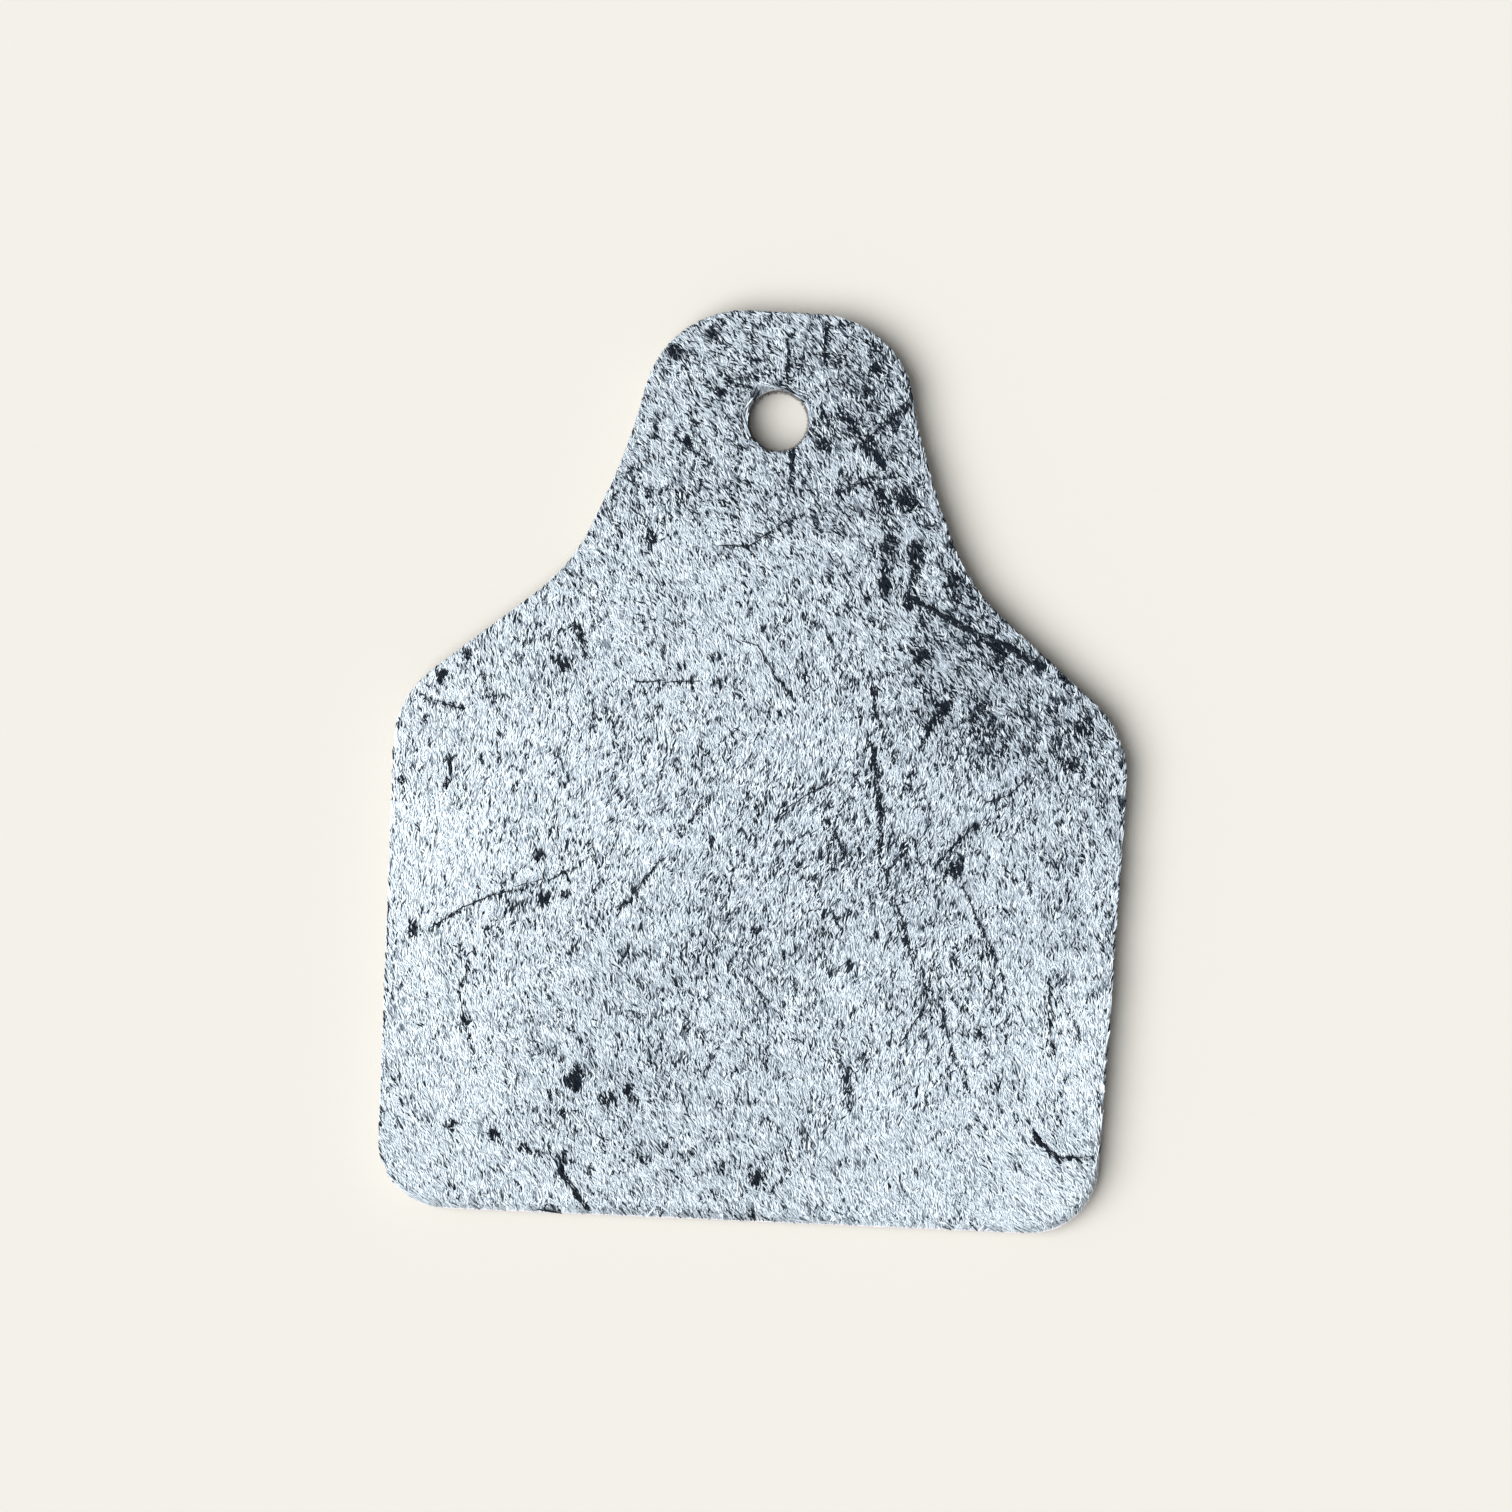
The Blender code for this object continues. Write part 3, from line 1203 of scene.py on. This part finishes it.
@dataclass(frozen=True)
class LongHairs:
    """Longer dark hairs that lie over the coat, along its creases."""

    height: float
    length: float = 1.9 * MM
    nearest: float = 0.55
    furthest: float = 1.2
    radius: float = 0.065 * MM
    sink: float = 0.07 * MM
    wobble: float = 0.03 * MM
    seed: int = 71

    STEPS = (0.0, 0.3, 0.62, 0.92, 1.0)
    THICKNESS = (0.6, 1.0, 1.0, 0.7)
    ARCH = (-1.0, 0.0, 0.1, -0.1, -0.3)
    EARLIEST_START = 0.3
    LEAST_LEFT = 0.2
    LENGTHS = (0.6, 1.1)
    WIDTHS = (0.7, 1.15)
    DEPTHS = (0.0, 0.8)
    TONES = (0.0, 0.14)
    SPAN = (0.3, 1.0)
    SIDE_SHIFT = 0.5

    def _along(self, crease: Crease, draw: np.random.Generator) -> list[np.ndarray]:
        """The level paths of the hairs on one crease.

        Args:
            crease: The line and the number of hairs side by side on it.
            draw: The source of chance.

        Returns:
            One path of points for each hair.
        """
        points = np.array(crease.points) * MM
        at = np.concatenate([[0.0], np.cumsum(np.linalg.norm(np.diff(points, axis=0), axis=1))])
        paths = []
        for _ in range(crease.hairs):
            start = -draw.uniform(0.0, self.EARLIEST_START) * self.length
            while start < at[-1] - self.LEAST_LEFT * self.length:
                reach = self.length * draw.uniform(*self.LENGTHS)
                stops = (start + reach * np.array(self.STEPS)).clip(0.0, at[-1])
                path = np.stack([np.interp(stops, at, points[:, k]) for k in (0, 1)], 1)
                shift = draw.normal(0.0, self.SIDE_SHIFT * crease.width * MM, 2)
                paths.append(path + shift + draw.normal(0.0, self.wobble, path.shape))
                start += reach * draw.uniform(self.nearest, self.furthest)
        return paths

    def build(self, pattern: CoatPattern, finish: bpy.types.Material) -> bpy.types.Object:
        """Lays the hairs on every crease of the pattern, as one piece."""
        draw = np.random.default_rng(self.seed)
        flat = np.array([path for crease in pattern.creases for path in self._along(crease, draw)])
        count = len(flat)
        base = self.height - self.sink * draw.uniform(*self.DEPTHS, count)
        high = base[:, None] + self.sink * np.array(self.ARCH)
        radii = self.radius * draw.uniform(*self.WIDTHS, count)[:, None] * np.array(self.THICKNESS)
        spans = np.tile(self.SPAN, (count, 1))
        tones = draw.uniform(*self.TONES, count)
        strands = Strands(np.concatenate([flat, high[:, :, None]], 2), radii, tones, spans)
        piece = strands.piece("long_dark_hairs", finish, Slot.HAIR)
        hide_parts("hair_coat")
        return piece


# ---------------------------------------------------------------- fibres


@dataclass(frozen=True)
class FleshNap:
    """The nap of the flesh side: short fibres that lie every way on its underside."""

    surface: float
    rest: float
    spacing: float = 0.62 * MM
    length: float = 0.9 * MM
    radius: float = 0.024 * MM
    seed: int = 51

    LOOSE = 0.9
    CLEAR_OF_EDGE = 0.75
    SIDE_BEND = 0.25
    LENGTHS = (0.6, 1.0)
    WIDTHS = (0.6, 1.0)
    DEPTHS = (0.75, 1.0)
    DROPS = ((0.0, -0.25), (0.5, 0.7), (1.0, 0.85))
    THICKNESS = (1.0, 0.8)

    def build(self, edges: EdgeField, finish: bpy.types.Material) -> bpy.types.Object:
        """Makes the nap as one piece."""
        draw = np.random.default_rng(self.seed)
        roots = jittered_grid(edges, self.spacing, draw, self.LOOSE)
        roots = roots[edges.at(roots) > self.CLEAR_OF_EDGE * self.length]
        count = len(roots)
        angle = draw.uniform(0.0, math.tau, count)
        way = np.stack([np.cos(angle), np.sin(angle)], 1)
        side = np.stack([-way[:, 1], way[:, 0]], 1) * draw.normal(0.0, self.SIDE_BEND, count)[:, None]
        reach = self.length * draw.uniform(*self.LENGTHS, count)
        drop = self.surface - self.rest - self.radius
        path = []
        for t, low in self.DROPS:
            flat = roots + (way * t + side * t * t) * reach[:, None]
            deep = low * draw.uniform(*self.DEPTHS, count)
            path.append(np.column_stack([flat, self.surface - drop * deep]))
        radii = self.radius * draw.uniform(*self.WIDTHS, count)[:, None] * np.array(self.THICKNESS)
        spans = np.tile([0.0, 1.0], (count, 1))
        tones = draw.uniform(0.0, 1.0, count)
        strands = Strands(np.stack(path, 1), radii, tones, spans, faces=(0.0, 0.0, -1.0))
        return strands.piece("flesh_nap", finish, Slot.FLESH)


@dataclass(frozen=True)
class CutFibres:
    """Fibre ends that stand out of a cut edge, from a little above its foot to a little below its top."""

    name: str
    above_foot: float = 0.1 * MM
    below_top: float = 0.3 * MM
    spacing: float = 0.085 * MM
    length: float = 0.2 * MM
    radius: float = 0.018 * MM
    stand: float = 0.6
    seed: int = 61

    ROOTED = 0.45
    STEPS = (-0.45, 0.35, 1.0)
    SIDE_LEAN = 0.9
    SIDE_REACH = 0.6
    SAG = -0.35
    SAG_SPREAD = 0.5
    LENGTHS = (0.4, 1.0)
    WIDTHS = (0.6, 1.1)
    TONES = (0.2, 1.0)
    THICKNESS = (1.0, 0.7)

    def build(
        self, loop: np.ndarray, foot: float, top: float, finish: bpy.types.Material
    ) -> bpy.types.Object:
        """Makes the fibre ends as one piece.

        Args:
            loop: The cut edge.
            foot: The height of its foot.
            top: The height of its top.
            finish: Their material.

        Returns:
            The piece.
        """
        draw = np.random.default_rng(self.seed)
        low, high = foot + self.above_foot, top - self.below_top
        roots = CutOutline.evenly(loop, self.spacing)
        outward = CutOutline.outward(roots)
        count = len(roots)
        height = draw.uniform(low, high, count)
        along = np.stack([-outward[:, 1], outward[:, 0]], 1)
        along *= draw.normal(0.0, self.SIDE_LEAN, count)[:, None]
        sag = draw.normal(self.SAG, self.SAG_SPREAD, count)
        reach = self.length * draw.uniform(*self.LENGTHS, count)
        path = []
        for t in self.STEPS:
            out = t + self.ROOTED
            flat = roots + (outward * (self.stand * t) + along * out * self.SIDE_REACH) * reach[:, None]
            path.append(np.column_stack([flat, np.maximum(height + sag * reach * out, low)]))
        radii = self.radius * draw.uniform(*self.WIDTHS, count)[:, None] * np.array(self.THICKNESS)
        spans = np.tile([0.0, 1.0], (count, 1))
        strands = Strands(np.stack(path, 1), radii, draw.uniform(*self.TONES, count), spans)
        return strands.piece(self.name, finish, Slot.FLESH)


EDGE_FIBRES = CutFibres(name="edge_fibres")
HOLE_FRINGE = CutFibres(
    name="hole_fringe",
    above_foot=0.3 * MM,
    below_top=0.0,
    spacing=0.018 * MM,
    length=0.5 * MM,
    radius=0.03 * MM,
    stand=0.75,
    seed=62,
)


# ---------------------------------------------------------------- the studio


@dataclass(frozen=True)
class Studio:
    """A pale table, a soft light within a broader one from the lower left, and a camera straight above."""

    floor_size: float = 6.0
    light_from: float = 202.0
    light_height: float = 53.0
    key_angle: float = 58.0
    key_strength: float = 6.7
    fill_angle: float = 150.0
    fill_strength: float = 1.8
    sky: Colour = (0.95, 0.98, 1.0)
    sky_strength: float = 0.075
    camera_height: float = 0.60
    camera_x: float = -0.47 * MM
    camera_y: float = 1.29 * MM
    camera_roll: float = 3.09
    view_width: float = 156.7 * MM
    sensor: float = 36.0

    def build(self) -> None:
        """Makes the floor, the lights and the camera."""
        self._floor()
        self._lamp("soft_key", self.key_angle, self.key_strength)
        self._lamp("broad_fill", self.fill_angle, self.fill_strength)
        self._sky()
        self._camera()
        log.info("studio: floor, light and camera")

    def _floor(self) -> None:
        """Makes the table top that the tag lies on."""
        half = self.floor_size / 2
        mesh = bpy.data.meshes.new("table_top")
        corners = [(-half, -half, 0.0), (half, -half, 0.0), (half, half, 0.0), (-half, half, 0.0)]
        mesh.from_pydata(corners, [], [(0, 1, 2, 3)])
        mesh.materials.append(TABLE.material())
        floor = bpy.data.objects.new("table_top", mesh)
        bpy.context.scene.collection.objects.link(floor)
        floor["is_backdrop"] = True

    def _lamp(self, name: str, angle: float, strength: float) -> None:
        """Makes a distant light.

        Args:
            name: Its name.
            angle: How broad it looks, in degrees.
            strength: Its strength.
        """
        lamp = bpy.data.lights.new(name, "SUN")
        lamp.energy = strength
        lamp.angle = math.radians(angle)
        light = bpy.data.objects.new(name, lamp)
        way, up = math.radians(self.light_from), math.radians(self.light_height)
        towards = Vector((math.cos(way) * math.cos(up), math.sin(way) * math.cos(up), math.sin(up)))
        light.rotation_euler = towards.to_track_quat("Z", "Y").to_euler()
        light.location = towards
        bpy.context.scene.collection.objects.link(light)

    def _sky(self) -> None:
        """Makes the faint even light all round."""
        world = bpy.data.worlds.new("pale_sky")
        world.use_nodes = True
        background = world.node_tree.nodes["Background"]
        background.inputs["Color"].default_value = (*self.sky, 1.0)
        background.inputs["Strength"].default_value = self.sky_strength
        bpy.context.scene.world = world

    def _camera(self) -> None:
        """Makes the long-lens camera that looks straight down."""
        _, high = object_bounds()
        lens = bpy.data.cameras.new("overhead")
        lens.sensor_width = self.sensor
        lens.lens = self.sensor * self.camera_height / self.view_width
        camera = bpy.data.objects.new("overhead", lens)
        camera.location = (self.camera_x, self.camera_y, high.z + self.camera_height)
        camera.rotation_euler = (0.0, 0.0, math.radians(self.camera_roll))
        bpy.context.scene.collection.objects.link(camera)
        bpy.context.scene.camera = camera
        bpy.context.scene.view_settings.view_transform = "Standard"


# ---------------------------------------------------------------- this tag's own pattern

SPECKLED = CoatPattern(
    lay=(
        LayPoint(0, 44, 134),
        LayPoint(-9, 34, 129),
        LayPoint(12, 34, 122),
        LayPoint(0, 24, 122),
        LayPoint(-14, 18, 112),
        LayPoint(14, 20, 121),
        LayPoint(-29, 8, 95),
        LayPoint(22, 15, 132),
        LayPoint(31, 8, 118),
        LayPoint(0, 8, 104),
        LayPoint(-33, -6, 90),
        LayPoint(-12, -4, 85),
        LayPoint(8, -4, 83),
        LayPoint(20, -6, 90),
        LayPoint(36, -6, 106),
        LayPoint(-28, -16, 88),
        LayPoint(0, -14, 82),
        LayPoint(14, -20, 86),
        LayPoint(30, -18, 100),
        LayPoint(-34, -30, 106),
        LayPoint(-14, -30, 111),
        LayPoint(4, -30, 104),
        LayPoint(16, -32, 88),
        LayPoint(31, -32, 106),
        LayPoint(-28, -43, 112),
        LayPoint(0, -43, 114),
        LayPoint(18, -43, 108),
        LayPoint(33, -42, 126),
    ),
    # The palest tones are partly the coat's whiteness and partly painted light, highest on the lit left
    # side.
    roan=(
        RoanPoint(-3, 44, 0.16, 0.88),
        RoanPoint(8, 43, 0.23, 0.84),
        RoanPoint(-4, 37.5, 0.24, 0.85),
        RoanPoint(-10, 32, 0.12, 0.89),
        RoanPoint(5, 34, 0.18, 0.84),
        RoanPoint(13, 33, 0.25, 0.82),
        RoanPoint(-15, 21, 0.07, 0.90),
        RoanPoint(0, 23, 0.08, 0.89),
        RoanPoint(13, 25, 0.21, 0.84),
        RoanPoint(-24, 12, 0.08, 0.90),
        RoanPoint(-5, 13, 0.05, 0.89),
        RoanPoint(11, 14, 0.07, 0.86),
        RoanPoint(21, 14, 0.26, 0.79),
        RoanPoint(20.5, 8.5, 0.28, 0.81),
        RoanPoint(29, 8, 0.18, 0.82),
        RoanPoint(-31, 5, 0.05, 0.95),
        RoanPoint(-12, 4, 0.075, 0.89),
        RoanPoint(3, 5, 0.05, 0.89),
        RoanPoint(16, 3, 0.12, 0.84),
        RoanPoint(34, 0, 0.15, 0.84),
        RoanPoint(-35, -9, 0.01, 1.00),
        RoanPoint(-20, -12, 0.08, 0.92),
        RoanPoint(-2, -13, 0.10, 0.84),
        RoanPoint(16, -12, 0.14, 0.83),
        RoanPoint(31, -13, 0.10, 0.85),
        RoanPoint(-32, -28, 0.02, 0.96),
        RoanPoint(-12, -30, 0.09, 0.86),
        RoanPoint(6, -30, 0.09, 0.86),
        RoanPoint(22, -27, 0.07, 0.88),
        RoanPoint(35, -27, 0.02, 0.95),
        RoanPoint(-28, -42, 0.02, 0.93),
        RoanPoint(-8, -41, 0.06, 0.88),
        RoanPoint(15, -42, 0.02, 0.89),
        RoanPoint(31, -41, 0.01, 0.94),
    ),
    smudges=(
        Smudge(9.5, 42.0, 0.7),
        Smudge(-11.0, 43.0, 0.8),
        Smudge(-7.5, 45.0, 0.7),
        Smudge(-6.5, 39.0, 0.6),
        Smudge(-9.5, 33.5, 0.6),
        Smudge(4.5, 34.0, 0.6),
        Smudge(-12.5, 23.5, 0.7),
        Smudge(11.0, 29.0, 1.0),
        Smudge(13.5, 28.5, 1.1),
        Smudge(12.0, 24.0, 0.7),
        Smudge(15.0, 23.5, 0.8),
        Smudge(12.0, 20.0, 0.8),
        Smudge(14.5, 18.5, 0.9),
        Smudge(19.0, 21.0, 0.8),
        Smudge(15.8, 12.5, 0.85, 0.95),
        Smudge(18.9, 7.4, 0.7),
        Smudge(17.2, 5.4, 0.7),
        Smudge(21.8, 6.9, 0.8, 0.6),
        Smudge(22.2, 5.0, 0.7, 0.7),
        Smudge(24.3, 5.0, 0.5, 0.6),
        Smudge(24.0, 13.0, 1.6, 0.3),
        Smudge(28.5, 12.3, 0.8, 0.7),
        Smudge(33.5, 6.0, 1.2, 0.6),
        Smudge(32.0, 2.0, 0.9, 0.6),
        Smudge(-21.0, 10.0, 0.9),
        Smudge(-31.0, 10.5, 0.6),
        Smudge(-33.5, 8.0, 0.8, 0.95),
        Smudge(-37.0, -3.0, 0.6),
        Smudge(-22.5, -10.0, 0.7),
        Smudge(-25.0, -15.9, 0.7, 0.55),
        Smudge(-21.7, -14.4, 0.75, 0.9),
        Smudge(-19.4, -14.0, 0.6, 0.9),
        Smudge(-35.0, -18.5, 0.8),
        Smudge(-29.0, -27.5, 0.6),
        Smudge(-17.5, -33.0, 1.1),
        Smudge(-14.0, -35.0, 0.8),
        Smudge(-12.0, -34.0, 0.7),
        Smudge(-18.5, -36.5, 0.5),
        Smudge(-30.0, -38.5, 0.5),
        Smudge(-25.5, -39.0, 0.6),
        Smudge(-22.5, -40.5, 0.5),
        Smudge(-18.5, -41.5, 0.7),
        Smudge(0.5, -16.5, 0.5),
        Smudge(2.0, -42.5, 0.9, 0.95),
        Smudge(1.5, -46.0, 0.5),
        Smudge(24.0, -26.0, 0.7),
        Smudge(15.5, -7.5, 0.6),
        Smudge(20.5, -9.5, 0.8),
    ),
    creases=(
        # The neck, from its right side round to its left.
        Crease(((9.0, 34.7), (11.3, 36.5), (13.6, 39.5)), 0.25, 0.8, 1),
        Crease(((6.8, 37.0), (8.8, 34.7), (10.9, 32.2)), 0.45, 0.75),
        Crease(((0.5, 44.8), (0.7, 40.2)), 0.18, 0.8, 1),
        Crease(((4.4, 46.5), (4.4, 42.3)), 0.22, 0.75, 1),
        Crease(((1.7, 33.2), (1.5, 30.0)), 0.25, 0.85, 2),
        Crease(((6.6, 29.0), (9.1, 30.4), (12.2, 31.2)), 0.25, 0.6, 1),
        Crease(((11.4, 29.0), (11.9, 24.9), (11.8, 21.1), (11.9, 18.6)), 0.55, 0.55),
        Crease(((14.7, 24.6), (14.8, 20.0)), 0.50, 0.6),
        Crease(((-5.6, 22.7), (-2.5, 23.0), (0.0, 24.6), (2.1, 26.1)), 0.20, 0.75, 1),
        Crease(((-13.5, 28.3), (-8.4, 28.6)), 0.20, 0.45),
        # The scar on the right shoulder, and the marks below it.
        Crease(((14.4, 18.5), (18.0, 16.9), (20.9, 15.6), (24.4, 14.4), (26.3, 13.2)), 0.26, 0.95, 3),
        Crease(((18.3, 16.9), (21.5, 15.0), (24.6, 13.4)), 0.20, 0.8, 1),
        Crease(((26.1, 13.3), (28.2, 12.4)), 0.32, 0.8, 2),
        Crease(((19.2, 7.8), (17.6, 6.0), (16.8, 3.8)), 0.34, 0.75, 1),
        Crease(((11.2, 9.2), (11.7, 6.0)), 0.28, 0.8, 1),
        Crease(((11.3, 3.4), (12.2, -0.5), (12.9, -4.4)), 0.40, 0.7, 1),
        Crease(((12.9, -5.2), (13.0, -8.0), (14.3, -11.8)), 0.22, 0.6),
        Crease(((14.4, -12.5), (16.0, -16.4), (17.1, -18.9), (18.6, -22.0)), 0.30, 0.5),
        # Loose hairs and wrinkles on the body, from its top down.
        Crease(((-2.6, 13.2), (-0.9, 12.8), (1.1, 9.9), (3.1, 7.3)), 0.12, 0.6, 1),
        Crease(((-13.3, 8.3), (-9.9, 8.5), (-6.8, 8.8)), 0.12, 0.6, 1),
        Crease(((-5.5, 8.6), (-3.0, 10.0)), 0.16, 0.6),
        Crease(((-35.2, 5.4), (-31.1, 4.7)), 0.20, 0.75, 1),
        Crease(((-25.2, 11.6), (-22.4, 13.0), (-19.6, 13.8), (-18.6, 10.7)), 0.30, 0.55),
        Crease(((-29.2, 5.8), (-26.1, 6.2)), 0.20, 0.6),
        Crease(((-32.1, -0.3), (-32.3, -3.4)), 0.30, 0.8),
        Crease(((23.4, -2.2), (25.9, -1.4), (27.7, 0.3)), 0.16, 0.5, 1),
        Crease(((22.6, -4.4), (20.5, -7.0), (18.8, -9.0)), 0.18, 0.8, 1),
        Crease(((1.9, -5.2), (4.0, -3.2), (7.3, -0.8)), 0.18, 0.75, 1),
        Crease(((7.2, -4.9), (9.9, -8.7)), 0.16, 0.75, 1),
        Crease(((5.0, -11.0), (8.7, -9.6)), 0.18, 0.6),
        Crease(((-9.4, -0.5), (-6.3, 0.0), (-5.4, 2.0)), 0.14, 0.5),
        Crease(((-7.8, -7.6), (-6.6, -5.0), (-4.9, -3.0)), 0.20, 0.6),
        Crease(((-13.9, -15.4), (-11.9, -12.9), (-9.5, -9.6)), 0.18, 0.75, 1),
        Crease(
            ((-33.3, -18.4), (-30.0, -16.0), (-26.3, -14.3), (-21.9, -12.8), (-18.3, -11.2)), 0.15, 0.7, 1
        ),
        Crease(((-24.0, -15.0), (-19.5, -14.0)), 0.40, 0.4),
        Crease(((-30.5, -18.6), (-29.0, -22.0), (-30.1, -25.2), (-28.6, -28.9), (-27.8, -32.6)), 0.22, 0.45),
        Crease(((-2.3, -20.8), (-1.3, -19.1)), 0.14, 0.8, 1),
        Crease(((-0.4, -21.6), (2.3, -24.1)), 0.13, 0.7, 1),
        Crease(((8.1, -20.9), (10.4, -19.3)), 0.15, 0.8, 1),
        Crease(((18.9, -20.9), (18.3, -23.9), (16.0, -27.9)), 0.12, 0.7, 1),
        Crease(((20.0, -23.5), (21.8, -29.1)), 0.13, 0.5, 1),
        Crease(((21.6, -11.0), (24.2, -16.0), (25.6, -18.4), (26.6, -21.2)), 0.11, 0.55, 1),
        Crease(((31.0, -20.0), (31.5, -23.7)), 0.12, 0.6, 1),
        Crease(((31.3, -24.2), (32.1, -28.1)), 0.12, 0.7, 1),
        Crease(((34.0, -24.4), (34.7, -26.3)), 0.14, 0.75, 1),
        Crease(((32.1, -30.0), (32.5, -33.6), (32.4, -37.0)), 0.10, 0.3),
        Crease(((10.4, -29.9), (11.2, -34.2)), 0.40, 0.65),
        # The two scars near the base.
        Crease(((30.3, -36.1), (31.6, -37.6), (33.4, -38.6)), 0.24, 0.95, 3),
        Crease(((33.4, -38.6), (36.7, -38.4)), 0.16, 0.7, 1),
        Crease(((-18.5, -42.5), (-16.8, -44.6), (-15.4, -46.4)), 0.28, 0.8, 1),
        Crease(((-22.3, -40.8), (-19.8, -41.0)), 0.18, 0.5),
    ),
)


def main() -> None:
    """Builds the hide, its coat, its fibres and the studio."""
    logging.basicConfig(level=logging.INFO, format="%(message)s")
    outline = CutOutline.of_layer(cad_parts["corium"])
    edges = EdgeField(outline)
    hide = Hide()
    corium, grain = hide.build(outline, edges)
    low, skin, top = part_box("corium")[0].z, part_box("grain_layer")[1].z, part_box("hair_coat")[1].z
    hair = HAIR.material()
    coat = HairCoat(skin=skin, height=top - skin).build(SPECKLED, edges, hair)
    coat.append(LongHairs(height=top).build(SPECKLED, hair))
    fibre = SUEDE_FIBRE.material()
    nap = FleshNap(surface=low + hide.flesh_lift, rest=low).build(edges, fibre)
    ends = EDGE_FIBRES.build(outline.rim, low, skin, fibre)
    # The fringe's dark finish is painted shade round the hole.
    fringe = HOLE_FRINGE.build(outline.hole, low, skin, SHADED_HOLE_FIBRE.material())
    Studio().build()


if __name__ == "__main__":
    main()
